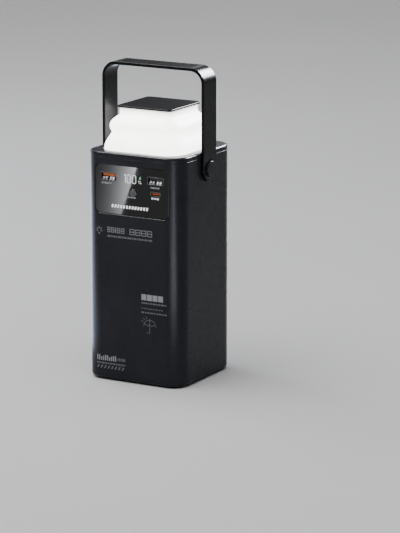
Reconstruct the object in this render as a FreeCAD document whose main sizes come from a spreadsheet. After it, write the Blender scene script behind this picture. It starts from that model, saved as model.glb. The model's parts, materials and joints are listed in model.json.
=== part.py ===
"""Power bank with a carrying handle, a collapsible lantern and four captive cables.

Frame: millimetres, origin at the middle of the footprint, +Z up.
The display faces -Y, the cables lie in the +Y face, the handle pivots about X.
"""
import FreeCAD, Part
import math
import os
import re
import Sketcher

SIZES = {
    # housing
    "body_width": 80.0,
    "body_height": 170.0,
    "corner_radius": 13.0,
    "wall": 2.6,
    "foot_gap": 0.8,
    "floor_thickness": 3.0,
    "bottom_fillet": 3.0,
    "seam_round": 0.2,
    "edge_round": 0.4,
    "overshoot": 1.0,
    "through": 20.0,
    # top bezel
    "bezel_height": 4.0,
    "bezel_fillet": 1.8,
    "lip_width": 66.6,
    "lip_radius": 14.0,
    "lip_thickness": 1.5,
    "spigot_depth": 3.8,
    "spigot_inner": 70.0,
    "spigot_gap": 0.15,
    "rebate_radius": 8.0,
    # display lens
    "lens_width": 61.0,
    "lens_height": 36.0,
    "lens_radius": 4.0,
    "lens_middle": 143.0,
    "lens_recess": 0.9,
    "lens_thickness": 1.1,
    "lens_flange": 2.0,
    "lens_gap": 0.15,
    "lens_round": 0.25,
    "seat_depth": 5.0,
    "seat_round": 0.7,
    "recess_round": 0.2,
    # sockets and button
    "port_spacing": 39.0,
    "usb_a_level": 152.2,
    "usb_a_width": 13.1,
    "usb_a_height": 5.7,
    "usb_a_radius": 0.5,
    "usb_a_tongue_width": 11.0,
    "usb_a_tongue_thickness": 1.9,
    "usb_a_tongue_rise": 1.2,
    "usb_a_tongue_setback": 1.2,
    "port_depth": 13.6,
    "port_setback": 0.15,
    "port_floor": 1.0,
    "sheet_metal": 0.3,
    "usb_c_level": 142.7,
    "usb_c_width": 8.9,
    "usb_c_height": 3.2,
    "usb_c_radius": 1.5,
    "usb_c_mouth": 7.5,
    "usb_c_tongue_width": 6.6,
    "usb_c_tongue_thickness": 0.7,
    "usb_c_tongue_setback": 0.7,
    "port_gap": 0.1,
    "button_place": 0.8,
    "button_level": 142.0,
    "button_radius": 3.0,
    "button_flange": 3.7,
    "button_gap": 0.15,
    "button_proud": 0.2,
    "button_round": 0.3,
    # boards
    "board_thickness": 1.0,
    "board_radius": 2.0,
    "display_board_width": 57.0,
    "display_board_height": 33.0,
    "display_board_face": 36.2,
    "main_board_width": 66.0,
    "main_board_height": 22.0,
    "main_board_level": 150.0,
    "main_board_face": 24.9,
    "digit_left": -11.5,
    "digit_right": 9.5,
    "digit_bottom": 147.2,
    "digit_height": 10.0,
    "digit_gap": 0.2,
    "switch_width": 4.4,
    "switch_thickness": 0.85,
    # battery
    "cell_radius": 9.2,
    "cell_length": 65.0,
    "cell_pitch": 18.5,
    "sheet_thickness": 0.4,
    "strip_thickness": 0.3,
    "strip_width": 8.0,
    "strip_length": 66.6,
    "insulator_width": 73.0,
    "insulator_depth": 55.0,
    "insulator_radius": 8.0,
    "foam_width": 68.0,
    "foam_depth": 44.0,
    "foam_radius": 4.0,
    "foam_thickness": 2.4,
    # tie rods, screws and feet
    "rod_place_x": 31.5,
    "rod_place_y": 29.9,
    "rod_radius": 2.2,
    "foot_radius": 4.2,
    "screw_head_radius": 2.2,
    "screw_head_height": 1.3,
    "screw_radius": 1.1,
    "screw_reach": 6.0,
    "screw_gap": 0.1,
    # lamp
    "deck_thickness": 2.0,
    "deck_gap": 0.2,
    "lamp_board_width": 54.0,
    "lamp_board_radius": 4.0,
    "lamp_board_thickness": 1.2,
    "led_pitch": 12.0,
    "led_length": 3.5,
    "led_width": 2.8,
    "led_height": 0.8,
    "clamp_opening": 62.4,
    "clamp_radius": 11.0,
    "clamp_gap": 0.3,
    "flange_thickness": 1.3,
    "flange_gap": 0.1,
    "flange_inset": 0.5,
    "shade_base": 65.5,
    "shade_base_radius": 14.0,
    "shade_tuck": 0.2,
    "shade_foot_rise": 2.5,
    "shade_notch": 56.2,
    "shade_notch_rise": 12.0,
    "shade_peak": 58.0,
    "shade_peak_rise": 15.2,
    "shade_lobe_radius": 11.0,
    "shade_neck": 43.6,
    "shade_neck_height": 5.0,
    "shade_neck_radius": 4.0,
    "shade_skin": 1.5,
    "shade_top": 200.0,
    "lamp_cap_width": 45.5,
    "lamp_cap_radius": 3.0,
    "lamp_cap_thickness": 1.5,
    "retainer_height": 3.0,
    "retainer_gap": 0.2,
    "retainer_radius": 4.0,
    # handle and pivots
    "pivot_level": 157.0,
    "strap_width": 18.4,
    "strap_thickness": 2.4,
    "handle_gap": 0.3,
    "handle_top": 231.0,
    "handle_corner": 11.5,
    "handle_overhang": 40.0,
    "axle_radius": 3.05,
    "axle_clearance": 0.05,
    "eye_recess_radius": 6.9,
    "eye_recess_depth": 1.4,
    "pivot_cap_radius": 6.0,
    "pivot_cap_proud": 1.6,
    "pivot_cap_round": 0.6,
    "pivot_gap": 0.05,
    "axle_head_radius": 4.6,
    "axle_head_height": 0.5,
    "axle_reach": 4.0,
    "washer_thickness": 0.2,
    "nut_radius": 4.8,
    "nut_height": 2.8,
    # captive cables
    "cable_pitch": 14.6,
    "cable_width": 8.0,
    "cable_thickness": 2.6,
    "cable_recess": 1.0,
    "cable_gap": 0.4,
    "cable_hinge": 142.0,
    "cable_end": 45.0,
    "channel_top": 147.0,
    "pocket_bottom": 8.0,
    "pocket_top": 38.0,
    "pocket_width": 13.2,
    "pocket_depth": 8.0,
    "entry_top": 46.0,
    "entry_width": 10.8,
    "entry_depth": 6.8,
    "root_gap": 0.3,
    "root_rise": 10.0,
    "root_clearance": 0.1,
    "tray_width": 58.4,
    "tray_depth": 6.9,
    "tray_radius": 2.0,
    "tray_gap": 0.05,
    "tray_bottom": 5.0,
    "tray_top": 162.0,
    "anchor_width": 23.0,
    "anchor_bottom": 151.8,
    "anchor_height": 9.4,
    "anchor_radius": 1.0,
    "anchor_recess": 0.4,
    "anchor_thickness": 2.1,
    "anchor_gap": 0.2,
    "grip_width": 10.2,
    "grip_thickness": 5.4,
    "grip_radius": 1.6,
    "sleeve_growth": 0.8,
    "sleeve_radius": 2.0,
    "sleeve_top": 27.0,
    "sleeve_bottom": 17.5,
    "plug_floor": 1.0,
    "usb_a_nose_width": 12.0,
    "usb_a_nose_height": 4.5,
    "usb_a_nose_recess": 0.4,
    "usb_a_nose_tip": 9.2,
    "usb_a_nose_floor": 2.0,
    "contact_board_thickness": 2.3,
    "contact_board_tip": 9.5,
}

# width, thickness, length, corner radius and sheet thickness of each closed plug nose
NOSES = {
    "usb_c": (8.3, 2.5, 6.6, 1.2, 0.3),
    "eight_pin": (6.7, 1.6, 6.7, 0.7, 0.3),
    "micro_usb": (6.9, 1.9, 5.6, 0.5, 0.25),
}

CABLES = ["usb_a", "usb_c", "eight_pin", "micro_usb"]
SIDES = {"left": -1, "right": 1}
TOUCH = 1e-4
CORNERS = [(-1, -1), (1, -1), (1, 1), (-1, 1)]

doc = FreeCAD.newDocument("power_bank")
sheet = doc.addObject("Spreadsheet::Sheet", "sizes")
working = doc.addObject("Spreadsheet::Sheet", "working")
nodes = []


def fill_sheet():
    """Write every driving size into the sheet, with its alias beside it."""
    for row, (alias, value) in enumerate(SIZES.items(), start=1):
        sheet.set(f"A{row}", alias)
        sheet.set(f"B{row}", str(value))
        sheet.setAlias(f"B{row}", alias)
    doc.recompute()


def formula(text):
    """Turn 'wall / 2' into an expression on the sheet's aliases."""
    return re.sub(r"\b([a-z][a-z_]+)\b", r"sizes.\1", str(text))


def bind(item, **properties):
    """Bind properties to formulas; a double underscore stands for a dot."""
    for name, text in properties.items():
        item.setExpression(name.replace("__", "."), formula(text))


def place(item, x, y, z):
    """Bind an object's position to three formulas."""
    bind(item, Placement__Base__x=x, Placement__Base__y=y, Placement__Base__z=z)


def keep(item, name):
    """Name a finished sub-part, which is later written to its own file."""
    item.Label = name
    nodes.append(item)
    return item


def box(x, y, z):
    """A block between two formulas along each axis."""
    block = doc.addObject("Part::Box", "block")
    bind(
        block,
        Length=f"({x[1]}) - ({x[0]})",
        Width=f"({y[1]}) - ({y[0]})",
        Height=f"({z[1]}) - ({z[0]})",
    )
    place(block, x[0], y[0], z[0])
    return block


TURNS = {
    "X": FreeCAD.Rotation(FreeCAD.Vector(0, 1, 0), 90),
    "Y": FreeCAD.Rotation(FreeCAD.Vector(1, 0, 0), -90),
    "Z": FreeCAD.Rotation(),
}


def rod(axis, radius, low, high, across):
    """A cylinder along an axis, between two levels on it, at two places across it."""
    cylinder = doc.addObject("Part::Cylinder", "rod")
    cylinder.Placement.Rotation = TURNS[axis]
    bind(cylinder, Radius=radius, Height=f"({high}) - ({low})")
    where = list(across)
    where.insert("XYZ".index(axis), low)
    place(cylinder, *where)
    return cylinder


def fuse(items):
    """Join several objects into one."""
    joined = doc.addObject("Part::MultiFuse", "joined")
    joined.Shapes = items
    return joined


def cut(base, tools):
    """Take several objects away from a base."""
    result = doc.addObject("Part::Cut", "cut")
    result.Base = base
    result.Tool = fuse(tools) if len(tools) > 1 else tools[0]
    return result


def new_sketch(body, plane, middle, level):
    """A sketch on one of the body's origin planes, moved in it and along its normal."""
    sketch = body.newObject("Sketcher::SketchObject", "profile")
    origin_plane = [f for f in body.Origin.OriginFeatures if f.Role == plane][0]
    sketch.AttachmentSupport = [(origin_plane, "")]
    sketch.MapMode = "FlatFace"
    bind(
        sketch,
        AttachmentOffset__Base__x=middle[0],
        AttachmentOffset__Base__y=middle[1],
        AttachmentOffset__Base__z=level,
    )
    return sketch


def value(text):
    """The number that a formula gives, worked out in the working sheet."""
    working.set("A1", f"={formula(text)}")
    working.recompute()
    return float(working.get("A1"))


def draw_rounded_rectangle(sketch, width, height, radius):
    """A centred rectangle with four equal round corners, its sizes bound to the sheet."""
    corner_radius = value(radius)
    across_half = value(width) / 2
    along_half = value(height) / 2
    flat_x = across_half - corner_radius
    flat_y = along_half - corner_radius
    line = Part.LineSegment
    vector = FreeCAD.Vector
    sides = [
        line(vector(-flat_x, -along_half, 0), vector(flat_x, -along_half, 0)),
        line(vector(across_half, -flat_y, 0), vector(across_half, flat_y, 0)),
        line(vector(flat_x, along_half, 0), vector(-flat_x, along_half, 0)),
        line(vector(-across_half, flat_y, 0), vector(-across_half, -flat_y, 0)),
    ]
    middles = [
        vector(flat_x, -flat_y, 0), vector(flat_x, flat_y, 0),
        vector(-flat_x, flat_y, 0), vector(-flat_x, -flat_y, 0),
    ]
    for side in sides:
        sketch.addGeometry(side, False)
    for number, middle in enumerate(middles):
        circle = Part.Circle(middle, vector(0, 0, 1), corner_radius)
        start = math.pi / 2 * (number - 1)
        sketch.addGeometry(Part.ArcOfCircle(circle, start, start + math.pi / 2), False)
    constraint = Sketcher.Constraint
    for number in range(4):
        sketch.addConstraint(constraint("Tangent", number, 2, 4 + number, 1))
        sketch.addConstraint(constraint("Tangent", 4 + number, 2, (number + 1) % 4, 1))
    for number in (5, 6, 7):
        sketch.addConstraint(constraint("Equal", 4, number))
    sketch.addConstraint(constraint("Horizontal", 0))
    sketch.addConstraint(constraint("Vertical", 1))
    sketch.addConstraint(constraint("Symmetric", 4, 3, 6, 3, -1, 1))
    across = sketch.addConstraint(constraint("DistanceX", 3, 1, 1, 1, 2 * across_half))
    along = sketch.addConstraint(constraint("DistanceY", 0, 1, 2, 1, 2 * along_half))
    corner = sketch.addConstraint(constraint("Radius", 4, corner_radius))
    sketch.renameConstraint(across, "across")
    sketch.renameConstraint(along, "along")
    sketch.renameConstraint(corner, "corner")
    bind(sketch, Constraints__across=width, Constraints__along=height, Constraints__corner=radius)


def slab(plane, size, radius, level, thickness, middle=("0", "0")):
    """A rounded slab: thickness runs along the plane's normal (+Z for XY, -Y for XZ, +X for YZ)."""
    body = doc.addObject("PartDesign::Body", "slab")
    sketch = new_sketch(body, plane, middle, level)
    draw_rounded_rectangle(sketch, size[0], size[1], radius)
    pad = body.newObject("PartDesign::Pad", "pad")
    pad.Profile = sketch
    bind(pad, Length=thickness)
    return body


def round_edges(body, radius, pick):
    """Fillet the edges of a slab that pick() accepts."""
    doc.recompute()
    base = body.Tip
    names = [f"Edge{n}" for n, edge in enumerate(base.Shape.Edges, start=1) if pick(edge)]
    fillet = body.newObject("PartDesign::Fillet", "round")
    fillet.Base = (base, names)
    bind(fillet, Radius=radius)
    return body


def edge_at(axis, level):
    """Accept edges whose ends all lie at one level along an axis."""
    return lambda edge: all(abs(getattr(vertex, axis) - level) < TOUCH for vertex in edge.Vertexes)


def soften(item, radius, pick):
    """Fillet the edges of any finished solid that pick() accepts."""
    doc.recompute()
    size = value(radius)
    rounded = doc.addObject("Part::Fillet", "rounded")
    rounded.Base = item
    rounded.Edges = [
        (number, size, size)
        for number, edge in enumerate(item.Shape.Edges, start=1)
        if pick(edge)
    ]
    return rounded


# ---------------------------------------------------------------- places used more than once

INSIDE = "body_width / 2 - wall"
OUTSIDE = "body_width / 2"
BEZEL_BASE = "body_height - bezel_height"
FLOOR_TOP = "foot_gap + floor_thickness"
FOOT_TOP = "2 * foot_gap"
HEAD_SEAT = "2 * foot_gap + screw_head_height + screw_gap"
FLANGE_BASE = "body_height - lip_thickness - flange_thickness - flange_gap"
PORT_FRONT = "body_width / 2 - lens_recess - port_setback"
LENS_BACK = "body_width / 2 - lens_recess - lens_thickness"
DECK_BASE = "body_height - bezel_height - spigot_depth"
ARM_INNER = "body_width / 2 + handle_gap"
ARM_OUTER = "body_width / 2 + handle_gap + strap_thickness"
CABLE_OUTER = "body_width / 2 - cable_recess"
CABLE_INNER = "body_width / 2 - cable_recess - cable_thickness"
CABLE_MIDDLE = "body_width / 2 - cable_recess - cable_thickness / 2"


def negative(text):
    return f"-({text})"


def cable_place(number):
    """The X of one of the four cables."""
    return f"cable_pitch * {number - 1.5}"


def around(middle, half):
    """The two ends of a span about its middle."""
    return (f"({middle}) - ({half})", f"({middle}) + ({half})")


# ---------------------------------------------------------------- housing


def cable_recesses():
    """Channels, stepped entries and plug pockets, from the back face inwards."""
    tools = []
    for number in range(4):
        middle = cable_place(number)
        channel = around(middle, "cable_width / 2 + cable_gap")
        entry = around(middle, "entry_width / 2")
        pocket = around(middle, "pocket_width / 2")
        outside = f"{OUTSIDE} + overshoot"
        spans = [
            (channel, f"{CABLE_INNER} - cable_gap", ("entry_top - overshoot", "channel_top")),
            (entry, f"{OUTSIDE} - entry_depth", ("pocket_top - overshoot", "entry_top")),
            (pocket, f"{OUTSIDE} - pocket_depth", ("pocket_bottom", "pocket_top")),
        ]
        tools += [box(across, (floor, outside), levels) for across, floor, levels in spans]
    return tools


def anchor_windows():
    """The two openings that the anchor covers fill."""
    tools = []
    for side in SIDES.values():
        span = around(f"cable_pitch * {side}", "anchor_width / 2 + anchor_gap")
        height = ("anchor_bottom - anchor_gap", "anchor_bottom + anchor_height + anchor_gap")
        tools.append(box(span, (f"{INSIDE} - overshoot", f"{OUTSIDE} + overshoot"), height))
    return tools


def on_skin(side):
    """Accept edges on the front (-1) or back (1) of the outer skin, apart from its tangent lines."""
    flat = SIZES["body_width"] / 2 - SIZES["corner_radius"]
    radius = SIZES["corner_radius"]

    def pick(edge):
        for vertex in edge.Vertexes:
            past = max(0.0, abs(vertex.X) - flat)
            if abs(vertex.Y * side - flat - math.sqrt(max(0.0, radius ** 2 - past ** 2))) > TOUCH:
                return False
        inner = [vertex for vertex in edge.Vertexes if abs(abs(vertex.X) - flat) > TOUCH]
        levels = [vertex.Z for vertex in edge.Vertexes]
        low = SIZES["foot_gap"] + SIZES["bottom_fillet"] + TOUCH
        high = SIZES["body_height"] - SIZES["bezel_height"] - SIZES["seam_round"] - TOUCH
        return bool(inner) and min(levels) > low and max(levels) < high

    return pick


def make_housing_shell():
    body = slab(
        "XY_Plane", ("body_width", "body_width"), "corner_radius",
        "foot_gap", "body_height - bezel_height - foot_gap",
    )
    round_edges(body, "bottom_fillet", edge_at("Z", SIZES["foot_gap"]))
    round_edges(body, "seam_round", edge_at("Z", SIZES["body_height"] - SIZES["bezel_height"]))
    cavity = slab(
        "XY_Plane", ("body_width - 2 * wall", "body_width - 2 * wall"), "corner_radius - wall",
        FLOOR_TOP, "body_height",
    )
    lens_seat = slab(
        "XZ_Plane", ("lens_width + 2 * lens_gap", "lens_height + 2 * lens_gap"), "lens_radius",
        LENS_BACK, "seat_depth", ("0", "lens_middle"),
    )
    window = slab(
        "XZ_Plane", ("lens_width - 2 * lens_flange", "lens_height - 2 * lens_flange"), "lens_radius / 2",
        f"{INSIDE} - overshoot", "seat_depth", ("0", "lens_middle"),
    )
    tools = [cavity, lens_seat, window]
    for x, y in CORNERS:
        spot = (f"rod_place_x * {x}", f"rod_place_y * {y}")
        tools.append(rod("Z", "foot_radius + screw_gap", "0", FOOT_TOP, spot))
        tools.append(rod("Z", "screw_head_radius + 2 * screw_gap", "foot_gap", HEAD_SEAT, spot))
        tools.append(rod("Z", "screw_radius + 2 * screw_gap", "foot_gap", f"{FLOOR_TOP} + overshoot", spot))
    through = f"{OUTSIDE} + overshoot"
    tools.append(rod("X", "axle_radius", negative(through), through, ("0", "pivot_level")))
    tools += cable_recesses() + anchor_windows()
    shell = soften(cut(body, tools), "seat_round", on_skin(-1))
    keep(soften(shell, "recess_round", on_skin(1)), "housing_shell")


def inside(edge, reach):
    """Accept edges that keep within a distance of the middle across X and Y."""
    return all(max(abs(vertex.X), abs(vertex.Y)) < reach + TOUCH for vertex in edge.Vertexes)


def make_top_bezel():
    ring = slab(
        "XY_Plane", ("body_width", "body_width"), "corner_radius", BEZEL_BASE, "bezel_height",
    )
    round_edges(ring, "bezel_fillet", edge_at("Z", SIZES["body_height"]))
    round_edges(ring, "seam_round", edge_at("Z", SIZES["body_height"] - SIZES["bezel_height"]))
    spigot_width = "body_width - 2 * wall - 2 * spigot_gap"
    spigot = slab(
        "XY_Plane", (spigot_width, spigot_width), "corner_radius - wall - spigot_gap",
        DECK_BASE, "spigot_depth + overshoot",
    )
    opening = slab("XY_Plane", ("lip_width", "lip_width"), "lip_radius", DECK_BASE, "through")
    rebate = slab(
        "XY_Plane", ("spigot_inner", "spigot_inner"), "rebate_radius",
        f"{DECK_BASE} - overshoot", "spigot_depth + bezel_height - lip_thickness + overshoot",
    )
    bezel = cut(fuse([ring, spigot]), [opening, rebate])
    top = edge_at("Z", SIZES["body_height"])
    half_lip = SIZES["lip_width"] / 2
    keep(soften(bezel, "edge_round", lambda edge: top(edge) and inside(edge, half_lip)), "top_bezel")


def make_feet_and_screws():
    feet = []
    bottom_screws = []
    deck_screws = []
    tie_rods = []
    deck_top = f"{DECK_BASE} + deck_thickness"
    head_base = f"{deck_top} - screw_head_height"
    for x, y in CORNERS:
        spot = (f"rod_place_x * {x}", f"rod_place_y * {y}")
        feet.append(rod("Z", "foot_radius", "0", FOOT_TOP, spot))
        head = rod("Z", "screw_head_radius", FOOT_TOP, f"{FOOT_TOP} + screw_head_height", spot)
        shank = rod("Z", "screw_radius", FOOT_TOP, f"{FLOOR_TOP} + screw_reach", spot)
        bottom_screws.append(fuse([head, shank]))
        top_head = rod("Z", "screw_head_radius", head_base, deck_top, spot)
        top_shank = rod("Z", "screw_radius", f"{DECK_BASE} - screw_reach", f"{head_base} + screw_gap", spot)
        deck_screws.append(fuse([top_head, top_shank]))
        post = rod("Z", "rod_radius", FLOOR_TOP, DECK_BASE, spot)
        low_hole = rod("Z", "screw_radius", FLOOR_TOP, f"{FLOOR_TOP} + screw_reach", spot)
        high_hole = rod("Z", "screw_radius", f"{DECK_BASE} - screw_reach", DECK_BASE, spot)
        tie_rods.append(cut(post, [low_hole, high_hole]))
    keep(fuse(feet), "rubber_feet")
    keep(fuse(bottom_screws), "bottom_screws")
    keep(fuse(deck_screws), "deck_screws")
    keep(fuse(tie_rods), "tie_rods")


# ---------------------------------------------------------------- front panel


def port_places():
    """The two USB-A sockets' X places."""
    return {side: f"port_spacing / 2 * {sign}" for side, sign in SIDES.items()}


def make_display_lens():
    lens = slab(
        "XZ_Plane", ("lens_width", "lens_height"), "lens_radius", LENS_BACK, "lens_thickness",
        ("0", "lens_middle"),
    )
    round_edges(lens, "lens_round", edge_at("Y", SIZES["lens_recess"] - SIZES["body_width"] / 2))
    behind = f"{LENS_BACK} - overshoot"
    tools = []
    for place_x in port_places().values():
        tools.append(slab(
            "XZ_Plane", ("usb_a_width + 2 * port_gap", "usb_a_height + 2 * port_gap"),
            "usb_a_radius + port_gap", behind, "seat_depth", (place_x, "usb_a_level"),
        ))
    tools.append(slab(
        "XZ_Plane", ("usb_c_width + 2 * port_gap", "usb_c_height + 2 * port_gap"), "usb_c_radius",
        behind, "seat_depth", ("port_spacing / 2", "usb_c_level"),
    ))
    front = negative(f"{OUTSIDE} + overshoot")
    spot = ("button_place", "button_level")
    tools.append(rod("Y", "button_radius + button_gap", front, negative(behind), spot))
    keep(cut(lens, tools), "display_lens")


def make_power_button():
    spot = ("button_place", "button_level")
    face = "body_width / 2 - lens_recess + button_proud"
    stem = rod("Y", "button_radius", negative(face), negative(f"{LENS_BACK} - 2 * button_gap"), spot)
    flange_front = f"{LENS_BACK} - button_gap"
    flange_back = f"{flange_front} - sheet_metal"
    flange = rod("Y", "button_flange", negative(flange_front), negative(flange_back), spot)
    level = -(SIZES["body_width"] / 2 - SIZES["lens_recess"] + SIZES["button_proud"])
    keep(soften(fuse([stem, flange]), "button_round", edge_at("Y", level)), "power_button")


def make_usb_a_sockets():
    tongues = []
    for side, place_x in port_places().items():
        middle = (place_x, "usb_a_level")
        outer = slab(
            "XZ_Plane", ("usb_a_width", "usb_a_height"), "usb_a_radius",
            f"{PORT_FRONT} - port_depth", "port_depth", middle,
        )
        inner = slab(
            "XZ_Plane", ("usb_a_width - 2 * sheet_metal", "usb_a_height - 2 * sheet_metal"),
            "usb_a_radius - sheet_metal", f"{PORT_FRONT} - port_depth + port_floor", "port_depth", middle,
        )
        keep(cut(outer, [inner]), f"usb_a_port_{side}")
        tongues.append(box(
            around(place_x, "usb_a_tongue_width / 2"),
            (
                negative(f"{PORT_FRONT} - usb_a_tongue_setback"),
                negative(f"{PORT_FRONT} - port_depth + port_floor"),
            ),
            around("usb_a_level + usb_a_tongue_rise", "usb_a_tongue_thickness / 2"),
        ))
    keep(fuse(tongues), "usb_a_tongues")


def make_usb_c_socket():
    middle = ("port_spacing / 2", "usb_c_level")
    outer = slab(
        "XZ_Plane", ("usb_c_width", "usb_c_height"), "usb_c_radius",
        f"{PORT_FRONT} - port_depth", "port_depth", middle,
    )
    inner = slab(
        "XZ_Plane", ("usb_c_width - 2 * sheet_metal", "usb_c_height - 2 * sheet_metal"),
        "usb_c_radius - sheet_metal", f"{PORT_FRONT} - usb_c_mouth", "port_depth", middle,
    )
    keep(cut(outer, [inner]), "usb_c_port")
    keep(box(
        around("port_spacing / 2", "usb_c_tongue_width / 2"),
        (negative(f"{PORT_FRONT} - usb_c_tongue_setback"), negative(f"{PORT_FRONT} - usb_c_mouth")),
        around("usb_c_level", "usb_c_tongue_thickness / 2"),
    ), "usb_c_tongue")


def make_boards():
    display = slab(
        "XZ_Plane", ("display_board_width", "display_board_height"), "board_radius",
        "display_board_face - board_thickness", "board_thickness", ("0", "lens_middle"),
    )
    through_board = (
        negative("display_board_face + overshoot"),
        negative("display_board_face - board_thickness - overshoot"),
    )
    tools = [
        box(
            around(place_x, "usb_a_width / 2 + sheet_metal"), through_board,
            around("usb_a_level", "usb_a_height / 2 + sheet_metal"),
        )
        for place_x in port_places().values()
    ]
    tools.append(box(
        around("port_spacing / 2", "usb_c_width / 2 + sheet_metal"), through_board,
        around("usb_c_level", "usb_c_height / 2 + sheet_metal"),
    ))
    keep(cut(display, tools), "display_board")
    keep(box(
        ("digit_left", "digit_right"), (negative(f"{LENS_BACK} - digit_gap"), "-display_board_face"),
        ("digit_bottom", "digit_bottom + digit_height"),
    ), "digit_module")
    keep(box(
        around("button_place", "switch_width / 2"),
        ("-display_board_face - switch_thickness", "-display_board_face"),
        around("button_level", "switch_width / 2"),
    ), "button_switch")
    keep(slab(
        "XZ_Plane", ("main_board_width", "main_board_height"), "board_radius",
        "main_board_face - board_thickness", "board_thickness", ("0", "main_board_level"),
    ), "main_board")


# ---------------------------------------------------------------- battery


def make_cell_layer(name, low):
    """Four by three cells, standing at one level."""
    cells = []
    for column in (-1.5, -0.5, 0.5, 1.5):
        for row in (-1, 0, 1):
            spot = (f"cell_pitch * {column}", f"cell_pitch * {row}")
            cells.append(rod("Z", "cell_radius", low, f"{low} + cell_length", spot))
    keep(fuse(cells), f"battery_cells_{name}")


def make_strips(low):
    """The welded strips under and over one layer of cells, one to each row."""
    strips = []
    for level in (f"{low} - strip_thickness", f"{low} + cell_length"):
        for row in (-1, 0, 1):
            strips.append(box(
                around("0", "strip_length / 2"),
                around(f"cell_pitch * {row}", "strip_width / 2"),
                (level, f"{level} + strip_thickness"),
            ))
    return strips


def make_battery():
    pitch = "cell_length + sheet_thickness + 2 * strip_thickness"
    strips = []
    sheets = []
    for number, name in enumerate(["lower", "upper"]):
        low = f"{FLOOR_TOP} + sheet_thickness + strip_thickness + ({pitch}) * {number}"
        make_cell_layer(name, low)
        strips += make_strips(low)
    for number in range(3):
        sheets.append(slab(
            "XY_Plane", ("insulator_width", "insulator_depth"), "insulator_radius",
            f"{FLOOR_TOP} + ({pitch}) * {number}", "sheet_thickness",
        ))
    keep(fuse(strips), "nickel_strips")
    keep(fuse(sheets), "cell_insulators")
    keep(slab(
        "XY_Plane", ("foam_width", "foam_depth"), "foam_radius",
        f"{FLOOR_TOP} + ({pitch}) * 2 + sheet_thickness", "foam_thickness",
    ), "foam_pad")


# ---------------------------------------------------------------- lamp


def shade_sections(inset):
    """Level, width and corner radius of the shade's rounded-square sections."""
    sections = [
        ("body_height - lip_thickness - shade_tuck", "shade_base", "shade_base_radius"),
        ("body_height + shade_foot_rise", "shade_base", "shade_base_radius"),
        ("body_height + shade_notch_rise", "shade_notch", "shade_lobe_radius"),
        ("body_height + shade_peak_rise", "shade_peak", "shade_lobe_radius"),
        ("shade_top - shade_neck_height", "shade_neck", "shade_neck_radius"),
        ("shade_top", "shade_neck", "shade_neck_radius"),
    ]
    return [(level, f"{width} - 2 * {inset}", f"{radius} - {inset}") for level, width, radius in sections]


def add_loft(body, kind, sections):
    """A ruled loft through rounded squares, added to or taken from a body."""
    sketches = []
    for level, width, radius in sections:
        sketch = new_sketch(body, "XY_Plane", ("0", "0"), level)
        draw_rounded_rectangle(sketch, width, width, radius)
        sketches.append(sketch)
    doc.recompute()
    loft = body.newObject(kind, "loft")
    loft.Profile = sketches[0]
    loft.Sections = sketches[1:]
    loft.Ruled = True
    return loft


def make_lamp_deck():
    width = "spigot_inner - 2 * deck_gap"
    deck = slab("XY_Plane", (width, width), "rebate_radius - deck_gap", DECK_BASE, "deck_thickness")
    deck_top = f"{DECK_BASE} + deck_thickness"
    tools = []
    for x, y in CORNERS:
        spot = (f"rod_place_x * {x}", f"rod_place_y * {y}")
        head_base = f"{deck_top} - screw_head_height"
        above = f"{deck_top} + overshoot"
        tools.append(rod("Z", "screw_head_radius + screw_gap", head_base, above, spot))
        tools.append(rod("Z", "screw_radius + screw_gap", f"{DECK_BASE} - overshoot", above, spot))
    keep(cut(deck, tools), "lamp_deck")


def make_lamp_lights():
    """The lamp board and its square grid of LEDs."""
    board_base = f"{DECK_BASE} + deck_thickness"
    led_base = f"{board_base} + lamp_board_thickness"
    keep(slab(
        "XY_Plane", ("lamp_board_width", "lamp_board_width"), "lamp_board_radius",
        board_base, "lamp_board_thickness",
    ), "lamp_board")
    leds = []
    for column in (-1.5, -0.5, 0.5, 1.5):
        for row in (-1.5, -0.5, 0.5, 1.5):
            leds.append(box(
                around(f"led_pitch * {column}", "led_length / 2"),
                around(f"led_pitch * {row}", "led_width / 2"),
                (led_base, f"{led_base} + led_height"),
            ))
    keep(fuse(leds), "lamp_leds")


def make_clamp_ring():
    base = f"{DECK_BASE} + deck_thickness"
    width = "spigot_inner - 2 * clamp_gap"
    ring = slab("XY_Plane", (width, width), "rebate_radius - clamp_gap", base, f"{FLANGE_BASE} - ({base})")
    hole = slab(
        "XY_Plane", ("clamp_opening", "clamp_opening"), "clamp_radius", f"{base} - overshoot", "through",
    )
    keep(cut(ring, [hole]), "shade_clamp_ring")


def make_shade():
    """A thin bellows loft with a clamped flange, open at the bottom and the top."""
    shade = doc.addObject("PartDesign::Body", "shade")
    add_loft(shade, "PartDesign::AdditiveLoft", shade_sections("0"))
    flange_sketch = new_sketch(shade, "XY_Plane", ("0", "0"), FLANGE_BASE)
    flange_width = "spigot_inner - 2 * flange_inset"
    draw_rounded_rectangle(flange_sketch, flange_width, flange_width, "rebate_radius - flange_inset")
    flange = shade.newObject("PartDesign::Pad", "flange")
    flange.Profile = flange_sketch
    bind(flange, Length="flange_thickness")
    add_loft(shade, "PartDesign::SubtractiveLoft", shade_sections("shade_skin"))
    well_sketch = new_sketch(shade, "XY_Plane", ("0", "0"), f"{FLANGE_BASE} + flange_thickness")
    well_width = "shade_base - 2 * shade_skin"
    draw_rounded_rectangle(well_sketch, well_width, well_width, "shade_base_radius - shade_skin")
    doc.recompute()
    well = shade.newObject("PartDesign::Pocket", "well")
    well.Profile = well_sketch
    bind(well, Length="2 * flange_thickness")
    keep(shade, "lamp_shade")


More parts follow.
